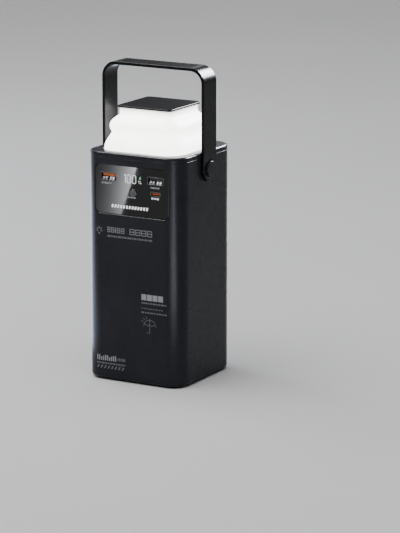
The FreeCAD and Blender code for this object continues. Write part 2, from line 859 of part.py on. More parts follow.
def make_lamp_top():
    cap = slab(
        "XY_Plane", ("lamp_cap_width", "lamp_cap_width"), "lamp_cap_radius",
        "shade_top", "lamp_cap_thickness",
    )
    round_edges(cap, "edge_round", edge_at("Z", SIZES["shade_top"] + SIZES["lamp_cap_thickness"]))
    round_edges(cap, "edge_round", edge_at("Z", SIZES["shade_top"]))
    keep(cap, "lamp_cap")
    width = "shade_neck - 2 * shade_skin - 2 * retainer_gap"
    keep(slab(
        "XY_Plane", (width, width), "retainer_radius",
        "shade_top - retainer_height", "retainer_height",
    ), "cap_retainer")


# ---------------------------------------------------------------- handle and pivots


def make_handle():
    height = "handle_top - pivot_level + handle_overhang"
    middle = ("0", f"handle_top - ({height}) / 2")
    outer = slab(
        "XZ_Plane", (f"2 * ({ARM_OUTER})", height), "handle_corner",
        "-strap_width / 2", "strap_width", middle,
    )
    inner = slab(
        "XZ_Plane", (f"2 * ({ARM_INNER})", f"{height} - 2 * strap_thickness"),
        "handle_corner - strap_thickness", "-strap_width", "2 * strap_width", middle,
    )
    reach = f"{ARM_OUTER} + overshoot"
    below = box(
        around("0", reach), around("0", "strap_width"),
        ("pivot_level - handle_overhang - through", "pivot_level"),
    )
    recess_floor = f"{ARM_OUTER} - eye_recess_depth"
    eyes = []
    recesses = []
    for sign in SIDES.values():
        eyes.append(turned(sign, [("strap_width / 2", ARM_INNER, ARM_OUTER)]))
        recesses.append(turned(sign, [("eye_recess_radius", recess_floor, reach)]))
    bore = rod("X", "axle_radius + axle_clearance", negative(reach), reach, ("0", "pivot_level"))
    solid = fuse([cut(outer, [inner, below])] + eyes)
    solid.Refine = True
    half_strap = SIZES["strap_width"] / 2
    rims = [edge_at("Y", -half_strap), edge_at("Y", half_strap)]
    strap = soften(solid, "edge_round", lambda edge: any(rim(edge) for rim in rims))
    keep(cut(strap, recesses + [bore]), "handle")


def turned(sign, steps):
    """A turned piece on the pivot axis: (radius, inner end, outer end) for each step."""
    pieces = []
    for radius, inner_end, outer_end in steps:
        ends = (inner_end, outer_end) if sign > 0 else (outer_end, inner_end)
        low, high = (f"({text}) * {sign}" for text in ends)
        pieces.append(rod("X", radius, low, high, ("0", "pivot_level")))
    return fuse(pieces) if len(pieces) > 1 else pieces[0]


def make_pivots():
    head_face = f"{ARM_OUTER} - eye_recess_depth + pivot_gap"
    head_top = f"{head_face} + axle_head_height"
    cap_face = f"{ARM_OUTER} + pivot_cap_proud"
    cap_level = value(cap_face)
    washers = []
    nuts = []
    for side, sign in SIDES.items():
        keep(turned(sign, [
            ("axle_radius", f"{INSIDE} - axle_reach", head_face),
            ("axle_head_radius", head_face, head_top),
        ]), f"pivot_axle_{side}")
        cap = soften(
            turned(sign, [("pivot_cap_radius", head_face, cap_face)]),
            "pivot_cap_round", edge_at("X", sign * cap_level),
        )
        pocket = turned(sign, [("axle_head_radius", f"{head_face} - overshoot", head_top)])
        keep(cut(cap, [pocket]), f"pivot_cap_{side}")
        washer_base = f"{OUTSIDE} + pivot_gap"
        disc = turned(sign, [("pivot_cap_radius", washer_base, f"{washer_base} + washer_thickness")])
        hole = turned(sign, [("axle_radius", f"{OUTSIDE} - overshoot", f"{OUTSIDE} + overshoot")])
        washers.append(cut(disc, [hole]))
        nut = turned(sign, [("nut_radius", f"{INSIDE} - nut_height", INSIDE)])
        tip = f"{INSIDE} - axle_reach - overshoot"
        thread = turned(sign, [("axle_radius", tip, f"{INSIDE} + overshoot")])
        nuts.append(cut(nut, [thread]))
    keep(fuse(washers), "friction_washers")
    keep(fuse(nuts), "pivot_nuts")


# ---------------------------------------------------------------- captive cables


def make_cable_tray():
    block = slab(
        "XZ_Plane", ("tray_width", "tray_top - tray_bottom"), "tray_radius",
        negative(INSIDE), "tray_depth", ("0", "(tray_top + tray_bottom) / 2"),
    )
    cavity_width = "body_width - 2 * wall - 2 * tray_gap"
    cavity = slab("XY_Plane", (cavity_width, cavity_width), "corner_radius - wall", "0", "body_height")
    fitted = doc.addObject("Part::Common", "fitted")
    fitted.Base = block
    fitted.Tool = cavity
    tools = cable_recesses()
    for number in range(4):
        span = around(cable_place(number), "cable_width / 2 + cable_gap")
        tools.append(box(
            span, (f"{INSIDE} - cable_thickness - cable_gap", f"{INSIDE} + overshoot"),
            ("cable_hinge", "channel_top + root_rise + overshoot"),
        ))
    keep(cut(fitted, tools), "cable_tray")


def make_anchor_covers():
    for side, sign in SIDES.items():
        cover = slab(
            "XZ_Plane", ("anchor_width", "anchor_height"), "anchor_radius",
            negative(f"{OUTSIDE} - anchor_recess"), "anchor_thickness",
            (f"cable_pitch * {sign}", "anchor_bottom + anchor_height / 2"),
        )
        face = SIZES["body_width"] / 2 - SIZES["anchor_recess"]
        keep(round_edges(cover, "edge_round", edge_at("Y", face)), f"anchor_cover_{side}")


def make_cable_root(number, name):
    """The fixed end of a cable: it leans in under the bar above the channel."""
    middle = value(cable_place(number))
    half_width = SIZES["cable_width"] / 2
    thickness = SIZES["cable_thickness"]
    outer = value(CABLE_OUTER)
    inner = value(f"{INSIDE} - root_clearance")
    low = SIZES["cable_hinge"] + thickness / 2 + SIZES["root_gap"]
    bend = SIZES["channel_top"]
    high = bend + SIZES["root_rise"]
    outline = [
        (outer, low),
        (inner, bend),
        (inner, high),
        (inner - thickness, high),
        (inner - thickness, bend),
        (outer - thickness, low),
    ]
    corners = [FreeCAD.Vector(middle - half_width, y, z) for y, z in outline]
    face = Part.Face(Part.makePolygon(corners + corners[:1]))
    root = doc.addObject("Part::Feature", "root")
    root.Shape = face.extrude(FreeCAD.Vector(SIZES["cable_width"], 0, 0))
    keep(root, f"cable_root_{name}")


def make_cable_strap(number, name):
    middle = cable_place(number)
    span = around(middle, "cable_width / 2")
    flat = box(span, (CABLE_INNER, CABLE_OUTER), ("cable_end", "cable_hinge"))
    knuckle = rod("X", "cable_thickness / 2", span[0], span[1], (CABLE_MIDDLE, "cable_hinge"))
    keep(fuse([flat, knuckle]), f"cable_strap_{name}")


def make_plug_grip(number, name):
    grip = slab(
        "XY_Plane", ("grip_width", "grip_thickness"), "grip_radius", "sleeve_top", "cable_end - sleeve_top",
        (cable_place(number), f"{CABLE_OUTER} - grip_thickness / 2"),
    )
    keep(round_edges(grip, "edge_round", edge_at("Z", SIZES["cable_end"])), f"plug_grip_{name}")


def make_plug_sleeve(number, name):
    sleeve = slab(
        "XY_Plane", ("grip_width + sleeve_growth", "grip_thickness"), "sleeve_radius",
        "sleeve_bottom", "sleeve_top - sleeve_bottom",
        (cable_place(number), f"{CABLE_OUTER} - grip_thickness / 2"),
    )
    keep(round_edges(sleeve, "edge_round", edge_at("Z", SIZES["sleeve_bottom"])), f"plug_sleeve_{name}")


def make_connector(number, name):
    """A plug's metal nose, open at its tip."""
    width, thickness, length, radius, skin = NOSES[name]
    middle = (cable_place(number), f"{CABLE_OUTER} - grip_thickness / 2")
    outer = slab(
        "XY_Plane", (str(width), str(thickness)), str(radius),
        f"sleeve_bottom - {length}", str(length), middle,
    )
    hollow = slab(
        "XY_Plane", (str(width - 2 * skin), str(thickness - 2 * skin)), str(radius - skin),
        f"sleeve_bottom - {length} - overshoot", f"{length} + overshoot - 2 * plug_floor", middle,
    )
    keep(cut(outer, [hollow]), f"connector_{name}")


def make_usb_a_plug(number):
    """An open USB-A nose: a metal tray round a contact board."""
    middle = cable_place(number)
    back = f"{CABLE_OUTER} - usb_a_nose_recess"
    floor = f"{back} - usb_a_nose_height + sheet_metal"
    inner_width = "usb_a_nose_width / 2 - sheet_metal"
    tray = box(
        around(middle, "usb_a_nose_width / 2"), (f"{back} - usb_a_nose_height", back),
        ("usb_a_nose_tip", "sleeve_top"),
    )
    mouth = box(
        around(middle, inner_width), (floor, f"{back} + overshoot"),
        ("usb_a_nose_tip - overshoot", "sleeve_top - usb_a_nose_floor"),
    )
    keep(cut(tray, [mouth]), "connector_usb_a")
    keep(box(
        around(middle, inner_width), (floor, f"{floor} + contact_board_thickness"),
        ("contact_board_tip", "sleeve_top - usb_a_nose_floor"),
    ), "contact_board_usb_a")


def make_cables():
    for number, name in enumerate(CABLES):
        make_cable_root(number, name)
        make_cable_strap(number, name)
        make_plug_grip(number, name)
        if name in NOSES:
            make_plug_sleeve(number, name)
            make_connector(number, name)
    make_usb_a_plug(CABLES.index("usb_a"))


# ---------------------------------------------------------------- build, check and write


def check_and_write():
    doc.recompute()
    for item in doc.Objects:
        if "Invalid" in item.State or "Error" in item.State:
            raise RuntimeError(f"{item.Label} failed: {item.State}")
    os.makedirs("parts", exist_ok=True)
    for node in nodes:
        if node.Shape.isNull() or not node.Shape.isValid():
            raise RuntimeError(f"{node.Label} has no valid shape")
        node.Shape.exportStep(f"parts/{node.Label}.step")
        print(f"{node.Label}: {len(node.Shape.Solids)} solids, {node.Shape.Volume:.1f} mm3")


def main():
    fill_sheet()
    make_housing_shell()
    make_top_bezel()
    make_feet_and_screws()
    make_display_lens()
    make_power_button()
    make_usb_a_sockets()
    make_usb_c_socket()
    make_boards()
    make_battery()
    make_lamp_deck()
    make_lamp_lights()
    make_clamp_ring()
    make_shade()
    make_lamp_top()
    make_handle()
    make_pivots()
    make_cable_tray()
    make_anchor_covers()
    make_cables()
    check_and_write()


main()
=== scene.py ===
"""Looks for the power bank: materials, bellows lamp shade, cables, plugs, prints, light and camera."""
import json
import math

import bpy
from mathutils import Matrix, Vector


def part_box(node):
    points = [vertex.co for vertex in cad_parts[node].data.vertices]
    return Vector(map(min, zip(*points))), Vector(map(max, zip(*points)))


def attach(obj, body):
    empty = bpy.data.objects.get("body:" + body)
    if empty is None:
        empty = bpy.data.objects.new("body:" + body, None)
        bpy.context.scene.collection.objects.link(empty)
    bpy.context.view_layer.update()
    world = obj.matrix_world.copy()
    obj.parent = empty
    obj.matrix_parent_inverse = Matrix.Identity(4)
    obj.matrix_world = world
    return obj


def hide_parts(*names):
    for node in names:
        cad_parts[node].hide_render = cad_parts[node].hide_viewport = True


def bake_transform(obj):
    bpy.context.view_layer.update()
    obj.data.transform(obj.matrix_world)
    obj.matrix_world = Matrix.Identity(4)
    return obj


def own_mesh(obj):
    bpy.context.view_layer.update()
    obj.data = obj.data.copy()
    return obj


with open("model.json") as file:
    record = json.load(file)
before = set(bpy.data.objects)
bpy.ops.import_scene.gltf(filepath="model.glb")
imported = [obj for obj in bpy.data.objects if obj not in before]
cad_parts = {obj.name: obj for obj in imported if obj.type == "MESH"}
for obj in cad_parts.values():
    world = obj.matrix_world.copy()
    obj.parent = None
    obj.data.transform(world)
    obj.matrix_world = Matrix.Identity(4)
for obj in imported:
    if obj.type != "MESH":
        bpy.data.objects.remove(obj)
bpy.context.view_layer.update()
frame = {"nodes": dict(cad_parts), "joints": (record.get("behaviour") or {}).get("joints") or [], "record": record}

MM = 0.001
CABLES = ["usb_a", "usb_c", "eight_pin", "micro_usb"]
CONTACT_OFFSETS = (-3.5, -1.0, 1.0, 3.5)
PLUG_Y = 36.3

# ---------------------------------------------------------------- places read from the frame

JOINTS = {joint["name"]: joint for joint in frame["joints"]}
HINGE_Y, HINGE_Z = JOINTS["cable_usb_a_swing"]["pos_m"][1:]
SHELL_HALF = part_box("housing_shell")[1].x
CORNER_RADIUS = 13 * MM
LENS_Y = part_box("display_lens")[0].y
BUTTON_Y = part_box("power_button")[0].y


# ---------------------------------------------------------------- node materials


class Material:
    """A Principled material with short helpers for its procedural detail."""

    def __init__(self, name, colour, roughness, metallic=0.0, **sockets):
        self.material = bpy.data.materials.new(name)
        self.material.use_nodes = True
        self.tree = self.material.node_tree
        self.shader = self.tree.nodes["Principled BSDF"]
        self.place = self.tree.nodes.new("ShaderNodeTexCoord").outputs["Object"]
        self.colour = colour
        self.roughness = roughness
        self.set("Base Color", (*colour, 1.0))
        self.set("Roughness", roughness)
        self.set("Metallic", metallic)
        for socket, value in sockets.items():
            self.set(socket.replace("_", " "), value)

    def set(self, socket, value):
        self.shader.inputs[socket].default_value = value

    def link(self, output, socket):
        self.tree.links.new(output, self.shader.inputs[socket])

    def stretch(self, scale):
        """Object coordinates scaled along each axis, for brushed or drawn surfaces."""
        mapping = self.tree.nodes.new("ShaderNodeMapping")
        mapping.inputs["Scale"].default_value = scale
        self.tree.links.new(self.place, mapping.inputs["Vector"])
        return mapping.outputs["Vector"]

    def noise(self, size, detail=3.0, place=None):
        """Noise whose blobs are about size metres across."""
        node = self.tree.nodes.new("ShaderNodeTexNoise")
        node.inputs["Scale"].default_value = 1 / size
        node.inputs["Detail"].default_value = detail
        self.tree.links.new(place or self.place, node.inputs["Vector"])
        return node.outputs["Fac"]

    def cells(self, size):
        """Distance to the nearest cell centre, with cells about size metres across."""
        node = self.tree.nodes.new("ShaderNodeTexVoronoi")
        node.inputs["Scale"].default_value = 1 / size
        self.tree.links.new(self.place, node.inputs["Vector"])
        return node.outputs["Distance"]

    def ramp(self, value, low, high, start=0.3, end=0.7):
        """A colour ramp between two colours or greys."""
        node = self.tree.nodes.new("ShaderNodeValToRGB")
        for element, place, shade in zip(node.color_ramp.elements, (start, end), (low, high)):
            element.position = place
            element.color = (*shade, 1.0) if isinstance(shade, tuple) else (shade, shade, shade, 1.0)
        self.tree.links.new(value, node.inputs["Fac"])
        return node.outputs["Color"]

    def tone(self, value, spread):
        """Vary the colour by a share either way."""
        darker = tuple(c * (1 - spread) for c in self.colour)
        lighter = tuple(min(1.0, c * (1 + spread)) for c in self.colour)
        self.link(self.ramp(value, darker, lighter), "Base Color")
        return self

    def polish(self, value, spread):
        """Vary the roughness by a step either way."""
        self.link(self.ramp(value, self.roughness - spread, self.roughness + spread), "Roughness")
        return self

    def relief(self, value, depth):
        """Bump of a real depth, in metres."""
        node = self.tree.nodes.new("ShaderNodeBump")
        node.inputs["Strength"].default_value = 1.0
        node.inputs["Distance"].default_value = depth
        self.tree.links.new(value, node.inputs["Height"])
        self.link(node.outputs["Normal"], "Normal")
        return self


def moulded(name, colour, roughness, grain=0.35 * MM, depth=0.006 * MM, **sockets):
    """Spark-eroded moulding: fine grain, faint flow tone, uneven sheen from handling."""
    made = Material(name, colour, roughness, **sockets)
    made.tone(made.noise(30 * MM), 0.10)
    made.polish(made.noise(12 * MM, 5.0), 0.04)
    made.relief(made.noise(grain, 2.0), depth)
    return made.material


def polished(name, colour, roughness, **sockets):
    """Polished plastic: almost flat, with a slow ripple and faint smears."""
    made = Material(name, colour, roughness, **sockets)
    made.tone(made.noise(25 * MM), 0.08)
    made.polish(made.noise(9 * MM, 4.0), min(0.03, roughness * 0.5))
    made.relief(made.noise(18 * MM, 1.0), 0.002 * MM)
    return made.material


def metal(name, colour, roughness, along, **sockets):
    """Drawn or brushed metal, with its lines along one axis."""
    made = Material(name, colour, roughness, metallic=1.0, **sockets)
    scale = [1.0, 1.0, 1.0]
    scale["XYZ".index(along)] = 0.03
    lines = made.noise(0.12 * MM, 3.0, made.stretch(scale))
    made.tone(lines, 0.08)
    made.polish(made.noise(3 * MM, 4.0), 0.06)
    made.relief(lines, 0.004 * MM)
    return made.material


def rubbery(name, colour, roughness, grain, depth, **sockets):
    """Soft rubber or silicone: pebbled skin and patchy dust."""
    made = Material(name, colour, roughness, **sockets)
    made.tone(made.noise(6 * MM, 5.0), 0.18)
    made.polish(made.noise(4 * MM, 4.0), 0.07)
    made.relief(made.cells(grain), depth)
    return made.material


def glowing(name, colour, strength, low_share, size):
    """A lit surface, a little uneven, brightest where the light behind it is."""
    made = Material(name, colour, 0.5, Emission_Color=(*colour, 1.0))
    made.link(made.ramp(made.noise(size, 2.0), strength * low_share, strength), "Emission Strength")
    return made.material


def circuit_board(name, colour):
    """Solder mask over copper tracks."""
    made = Material(name, colour, 0.3)
    node = made.tree.nodes.new("ShaderNodeTexBrick")
    node.inputs["Scale"].default_value = 1 / (9 * MM)
    node.inputs["Color1"].default_value = (*colour, 1.0)
    node.inputs["Color2"].default_value = (*(c * 1.5 for c in colour), 1.0)
    node.inputs["Mortar"].default_value = (*(c * 2.2 for c in colour), 1.0)
    made.tree.links.new(made.place, node.inputs["Vector"])
    made.link(node.outputs["Color"], "Base Color")
    made.relief(made.noise(1.5 * MM), 0.02 * MM)
    return made.material


MATERIALS = {
    "body_plastic": moulded(
        "body_plastic", (0.0210, 0.0219, 0.0270), 0.28, 0.35 * MM, 0.002 * MM, Specular_IOR_Level=0.085,
    ),
    "tray_plastic": moulded("tray_plastic", (0.006, 0.0065, 0.007), 0.5, 0.5 * MM, 0.01 * MM),
    "handle_plastic": moulded(
        "handle_plastic", (0.0025, 0.0027, 0.0033), 0.26, 0.3 * MM, 0.002 * MM, Specular_IOR_Level=0.12,
    ),
    "lens_plastic": polished("lens_plastic", (0.003, 0.003, 0.0035), 0.03, Specular_IOR_Level=0.3),
    "button_plastic": polished("button_plastic", (0.012, 0.012, 0.013), 0.25),
    "gloss_cap": polished("gloss_cap", (0.005, 0.005, 0.0057), 0.22, Specular_IOR_Level=0.09),
    "frosted_silicone": rubbery("frosted_silicone", (0.88, 0.87, 0.84), 0.55, 0.6 * MM, 0.01 * MM),
    "white_plastic": moulded("white_plastic", (0.78, 0.78, 0.75), 0.45),
    "lamp_board": circuit_board("lamp_board", (0.7, 0.71, 0.7)),
    "led": glowing("led", (1.0, 0.93, 0.78), 12.0, 0.8, 2 * MM),
    "foot_rubber": rubbery("foot_rubber", (0.012, 0.012, 0.012), 0.75, 0.5 * MM, 0.02 * MM),
    "foam": rubbery("foam", (0.035, 0.035, 0.038), 0.95, 0.8 * MM, 0.2 * MM),
    "screw_steel": metal("screw_steel", (0.55, 0.55, 0.57), 0.35, "Z"),
    "washer_plastic": moulded("washer_plastic", (0.7, 0.69, 0.64), 0.5),
    "socket_steel": metal("socket_steel", (0.16, 0.16, 0.17), 0.35, "Y"),
    "orange_tongue": moulded("orange_tongue", (0.85, 0.16, 0.012), 0.4, 0.4 * MM, 0.005 * MM),
    "circuit_board": circuit_board("circuit_board", (0.008, 0.07, 0.03)),
    "digit_block": polished("digit_block", (0.02, 0.02, 0.022), 0.3),
    "cell_wrap": polished("cell_wrap", (0.015, 0.15, 0.22), 0.3),
    "nickel": metal("nickel", (0.66, 0.63, 0.57), 0.35, "X"),
    "insulator_sheet": moulded("insulator_sheet", (0.62, 0.66, 0.55), 0.8, 0.8 * MM, 0.03 * MM),
    "cable_silicone": rubbery(
        "cable_silicone", (0.010, 0.0105, 0.012), 0.45, 0.5 * MM, 0.008 * MM, Specular_IOR_Level=0.25,
    ),
    "grip_plastic": moulded(
        "grip_plastic", (0.010, 0.010, 0.0115), 0.42, 0.4 * MM, 0.01 * MM, Specular_IOR_Level=0.25,
    ),
    "plug_steel": metal("plug_steel", (0.72, 0.72, 0.73), 0.22, "Z"),
    "plug_sleeve": metal("plug_sleeve", (0.75, 0.75, 0.77), 0.3, "Z"),
}

GOLD = metal("gold_plate", (0.83, 0.55, 0.18), 0.25, "Y")
# The socket springs are one steel in two copies: the darker copy is painted shade for the near springs, the
# lighter copy a painted highlight for the far springs.
PAINTED_SHADE_SPRING = metal("painted_shade_spring", (0.30, 0.30, 0.30), 0.4, "Y")
PAINTED_LIT_SPRING = metal("painted_lit_spring", (0.74, 0.74, 0.73), 0.35, "Y")


def dress_cad_nodes():
    """Give every CAD node the material of its slot."""
    for part in frame["record"]["subparts"]:
        node = frame["nodes"][part["node"]]
        node.data.materials.clear()
        node.data.materials.append(MATERIALS[part["material_slot"]])


# ---------------------------------------------------------------- mesh helpers


def new_piece(name, vertices, faces, material, body=None, smooth=True):
    """A mesh piece in the row frame, riding on a body if one is given."""
    mesh = bpy.data.meshes.new(name)
    mesh.from_pydata([tuple(v) for v in vertices], [], faces)
    mesh.update()
    mesh.materials.append(material)
    for polygon in mesh.polygons:
        polygon.use_smooth = smooth
    piece = bpy.data.objects.new(name, mesh)
    bpy.context.scene.collection.objects.link(piece)
    if body:
        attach(piece, body)
    return piece


def rounded_ring(half_x, half_y, radius, steps=8):
    """Points round a rounded rectangle, anticlockwise."""
    points = []
    for quadrant, (sign_x, sign_y) in enumerate([(1, -1), (1, 1), (-1, 1), (-1, -1)]):
        for step in range(steps + 1):
            angle = math.radians(-90 + 90 * quadrant + 90 * step / steps)
            x = sign_x * (half_x - radius) + radius * math.cos(angle)
            y = sign_y * (half_y - radius) + radius * math.sin(angle)
            points.append((x, y))
    return points


def loft(rings, closed_ends=True):
    """Vertices and faces joining equal rings of 3-D points."""
    count = len(rings[0])
    vertices = [point for ring in rings for point in ring]
    faces = []
    for level in range(len(rings) - 1):
        base = level * count
        for i in range(count):
            j = (i + 1) % count
            faces.append((base + i, base + j, base + count + j, base + count + i))
    if closed_ends:
        faces.append(tuple(reversed(range(count))))
        faces.append(tuple(range((len(rings) - 1) * count, len(rings) * count)))
    return vertices, faces


def box_mesh(spans):
    """Vertices and faces of several blocks, each given as its X, Y and Z spans in metres."""
    vertices = []
    faces = []
    for x, y, z in spans:
        base = len(vertices)
        vertices += [(a, b, c) for c in z for b in y for a in x]
        faces += [
            tuple(base + i for i in face)
            for face in [(0, 2, 3, 1), (4, 5, 7, 6), (0, 1, 5, 4), (2, 6, 7, 3), (0, 4, 6, 2), (1, 3, 7, 5)]
        ]
    return vertices, faces


def span(middle, half):
    """The stretch from half below a middle to half above it."""
    return (middle - half, middle + half)


def soften(piece, width):
    """Round a piece's sharp edges."""
    bevel = piece.modifiers.new("soft_edges", "BEVEL")
    bevel.width = width
    bevel.segments = 2
    bevel.limit_method = "ANGLE"
    return piece


def upright_loft(sections, middle_x, steps=5):
    """A loft of level rounded rectangles: (z, half width, half depth, middle y, corner), in millimetres."""
    rings = []
    for z, half_x, half_y, middle_y, corner in sections:
        ring = rounded_ring(half_x, half_y, corner, steps)
        rings.append([(middle_x + x * MM, (middle_y + y) * MM, z * MM) for x, y in ring])
    return loft(rings)


# ---------------------------------------------------------------- printed and lit marks


def skin_y(x):
    """The front skin's Y at a place across it, following its round corners."""
    flat = SHELL_HALF - CORNER_RADIUS
    past = max(0.0, abs(x) - flat)
    return -(flat + math.sqrt(CORNER_RADIUS ** 2 - past ** 2))


def lens_y(x):
    """The lens's flat face, at the same Y all across."""
    return LENS_Y


def button_y(x):
    """The button's flat face, at the same Y all across."""
    return BUTTON_Y


class Print:
    """Thin raised marks on a face that looks along -Y, drawn with bars, dots and strokes."""

    STRIP = 0.8

    def __init__(self, face, height=0.03 * MM):
        self.face = face
        self.height = height
        self.vertices = []
        self.faces = []

    def polygon(self, outline):
        """A filled convex outline of (x, z) points, in millimetres."""
        base = len(self.vertices)
        count = len(outline)
        area = sum(a[0] * b[1] - b[0] * a[1] for a, b in zip(outline, outline[1:] + outline[:1]))
        points = outline if area > 0 else outline[::-1]
        for depth in (-self.height, self.height):
            self.vertices += [(x * MM, self.face(x * MM) + depth, z * MM) for x, z in points]
        self.faces.append(tuple(base + i for i in range(count)))
        self.faces.append(tuple(base + count + i for i in reversed(range(count))))
        for i in range(count):
            j = (i + 1) % count
            self.faces.append((base + j, base + i, base + count + i, base + count + j))

    def bar(self, x, z, width, height, lean=0.0):
        """A bar about a middle, leaning by a distance at its top, in strips that follow the face."""
        count = max(1, math.ceil(width / self.STRIP))
        for strip in range(count):
            left = x - width / 2 + width * strip / count
            right = left + width / count
            self.polygon([
                (left - lean / 2, z - height / 2), (right - lean / 2, z - height / 2),
                (right + lean / 2, z + height / 2), (left + lean / 2, z + height / 2),
            ])

    def row(self, start, end, z, height, widths, gap, lean=0.0):
        """Bars from start to end, with widths taken in turn."""
        x = start
        turn = 0
        while x < end - min(widths) / 2:
            width = min(widths[turn % len(widths)], end - x)
            self.bar(x + width / 2, z, width, height, lean)
            x += width + gap
            turn += 1

    def levels(self, start, end, base, heights, width, gap):
        """Upright bars of different heights on one base line."""
        count = int((end - start + gap) / (width + gap))
        for turn in range(count):
            height = heights[turn % len(heights)]
            self.bar(start + width / 2 + turn * (width + gap), base + height / 2, width, height)

    def frames(self, start, end, z, height, widths, gap, stroke):
        """Hollow blocks in a row, each with a bar through its middle."""
        x = start
        turn = 0
        while x + widths[turn % len(widths)] <= end:
            width = widths[turn % len(widths)]
            for side in (x + stroke / 2, x + width - stroke / 2):
                self.bar(side, z, stroke, height)
            for level in (z + height / 2 - stroke / 2, z, z - height / 2 + stroke / 2):
                self.bar(x + width / 2, level, width - 2 * stroke, stroke)
            x += width + gap
            turn += 1

    def dot(self, x, z, radius, steps=20):
        turn = 2 * math.pi / steps
        self.polygon([
            (x + radius * math.cos(turn * i), z + radius * math.sin(turn * i)) for i in range(steps)
        ])

    def stroke(self, points, width):
        """A line of even width through points, as one quad for each run."""
        for (ax, az), (bx, bz) in zip(points, points[1:]):
            length = math.hypot(bx - ax, bz - az)
            nx, nz = -(bz - az) / length * width / 2, (bx - ax) / length * width / 2
            self.polygon([(ax + nx, az + nz), (ax - nx, az - nz), (bx - nx, bz - nz), (bx + nx, bz + nz)])

    def arc(self, x, z, radius, start, end, width, steps=16):
        """A curved stroke between two angles in degrees."""
        angles = [math.radians(start + (end - start) * i / steps) for i in range(steps + 1)]
        self.stroke([(x + radius * math.cos(a), z + radius * math.sin(a)) for a in angles], width)

    def rays(self, x, z, inner, outer, angles, width):
        """Short strokes pointing away from a middle."""
        for angle in map(math.radians, angles):
            across, up = math.cos(angle), math.sin(angle)
            self.stroke([(x + inner * across, z + inner * up), (x + outer * across, z + outer * up)], width)

    def finish(self, name, material, body="housing"):
        return new_piece(name, self.vertices, self.faces, material, body, smooth=False)


def ink(name, colour, roughness=0.5):
    """Screen-printed ink: slightly uneven cover and a fine rough skin."""
    made = Material(name, colour, roughness)
    made.tone(made.noise(0.8 * MM, 5.0), 0.16)
    made.polish(made.noise(2 * MM), 0.05)
    made.relief(made.noise(0.15 * MM), 0.002 * MM)
    return made.material


def make_front_prints():
    """Generic bars, blocks and icons where the front carries its printing."""
    marks = Print(skin_y)
    marks.arc(-27.2, 112.2, 1.6, -55, 235, 0.4)
    marks.bar(-27.2, 110.0, 1.5, 0.4)
    marks.bar(-27.2, 109.2, 1.1, 0.4)
    marks.rays(-27.2, 112.2, 2.3, 3.0, (-10, 38, 90, 142, 190), 0.4)
    marks.frames(-20.2, -4.6, 113.2, 3.9, (2.3, 2.3, 1.3, 2.3, 3.0), 0.75, 0.5)
    marks.frames(-1.6, 17.6, 113.3, 4.3, (4.1,), 0.8, 0.5)
    marks.finish("front_marks", ink("print_ink", (0.23, 0.235, 0.25)))

    small = Print(skin_y)
    small.row(-20.2, 17.4, 108.5, 1.3, (2.6, 1.2, 1.9, 0.8), 0.55)
    small.row(8.1, 29.4, 61.9, 1.1, (1.8, 2.6, 1.2), 0.5)
    small.row(8.1, 30.0, 54.9, 1.0, (2.4, 1.3, 1.7), 0.6)
    small.row(-12.4, -5.8, 16.6, 2.2, (0.7, 1.1), 0.55)
    small.row(-29.9, -5.8, 12.8, 1.2, (1.9, 1.1, 2.4), 0.5)
    small.row(-29.5, -5.8, 10.0, 2.3, (1.3,), 1.7, lean=1.2)
    umbrella_x, umbrella_z = 15.0, 44.4
    small.arc(umbrella_x, umbrella_z, 5.2, 0, 180, 0.45, 22)
    for offset in (-3.47, 0.0, 3.47):
        small.arc(umbrella_x + offset, umbrella_z, 1.73, 0, 180, 0.4, 10)
    small.stroke([(umbrella_x, umbrella_z + 6.2), (umbrella_x, umbrella_z - 3.6)], 0.45)
    small.arc(umbrella_x - 1.1, umbrella_z - 3.6, 1.1, 180, 360, 0.45, 10)
    small.rays(umbrella_x, umbrella_z, 6.3, 8.3, (112, 130, 148), 0.4)
    small.finish("small_marks", ink("dim_ink", (0.12, 0.123, 0.13)))

    bold = Print(skin_y)
    bold.row(8.1, 26.6, 66.2, 4.4, (4.1,), 0.55)
    bold.levels(-29.9, -13.2, 14.8, (4.0, 4.0, 2.6, 3.4), 1.0, 0.7)
    bold.finish("bold_marks", ink("bold_ink", (0.31, 0.31, 0.33)))

    faint = Print(skin_y)
    faint.row(8.1, 26.0, 57.9, 0.9, (1.4, 2.2), 0.6)
    faint.finish("faint_marks", ink("faint_ink", (0.07, 0.072, 0.078)))


def make_digit(marks, x, z, width, height, stroke):
    """A round-cornered nought."""
    corner = width / 2
    marks.arc(x, z + height / 2 - corner, corner, 0, 180, stroke, 12)
    marks.arc(x, z - height / 2 + corner, corner, 180, 360, stroke, 12)
    for side in (-corner, corner):
        marks.stroke([(x + side, z - height / 2 + corner), (x + side, z + height / 2 - corner)], stroke)


